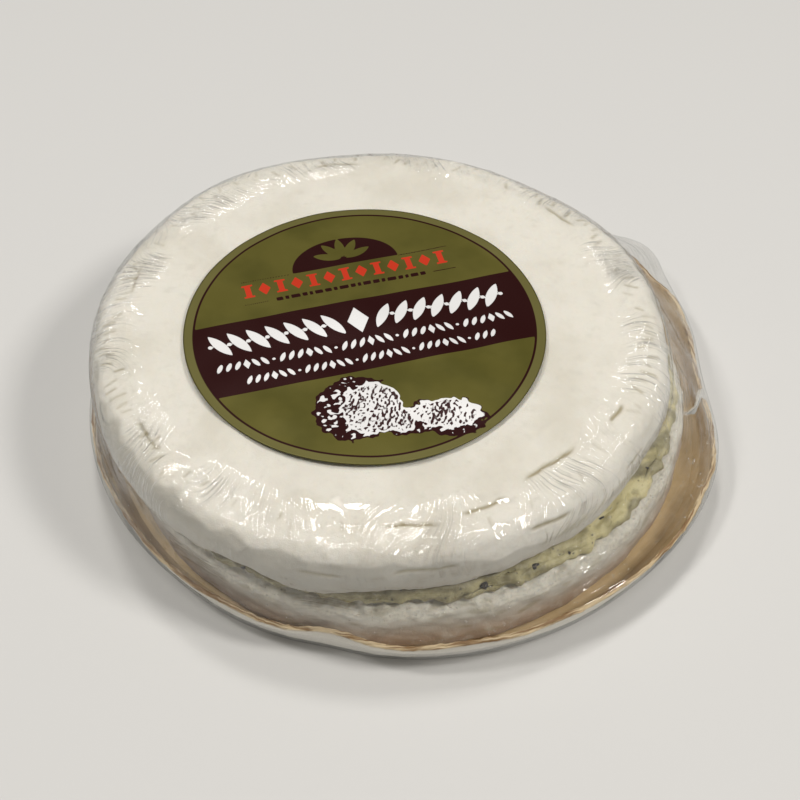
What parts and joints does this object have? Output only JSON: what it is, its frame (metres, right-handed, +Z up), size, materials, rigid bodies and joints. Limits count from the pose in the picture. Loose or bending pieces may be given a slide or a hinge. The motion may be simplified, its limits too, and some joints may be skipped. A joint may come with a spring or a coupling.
{
  "type": "cheese wheel",
  "caption": "Round white-rinded soft cheese wheel filled with truffle cream, in a shallow board tray, wrapped in clear film with a round paper label.",
  "frame": {"origin": "the middle of the underside of the part's box, on the surface it stands on", "axes": "+Z up through the wheel, +Y away from someone who faces the label, +X to their right"},
  "size_m": [0.1544, 0.1574, 0.0347],
  "materials": {
    "rind": "soft white mould bloom",
    "truffle_cream": "moist",
    "truffle": "matt",
    "tray_board": "satin pressed board, pale outside",
    "clear_film": "clear gloss stretch film",
    "label_paper": "printed satin foil paper"
  },
  "bodies": {
    "root": {"tray": "tray_board", "lower_cheese": "rind", "truffle_cream": "truffle_cream", "truffle_shard_01": "truffle", "truffle_shard_02": "truffle", "truffle_shard_03": "truffle", "truffle_shard_04": "truffle", "truffle_shard_05": "truffle", "truffle_shard_06": "truffle", "truffle_shard_07": "truffle", "truffle_shard_08": "truffle", "truffle_shard_09": "truffle", "truffle_shard_10": "truffle", "truffle_shard_11": "truffle", "truffle_shard_12": "truffle", "truffle_shard_13": "truffle", "truffle_shard_14": "truffle", "upper_cheese": "rind", "film": "clear_film", "label": "label_paper"}
  },
  "joints": []
}
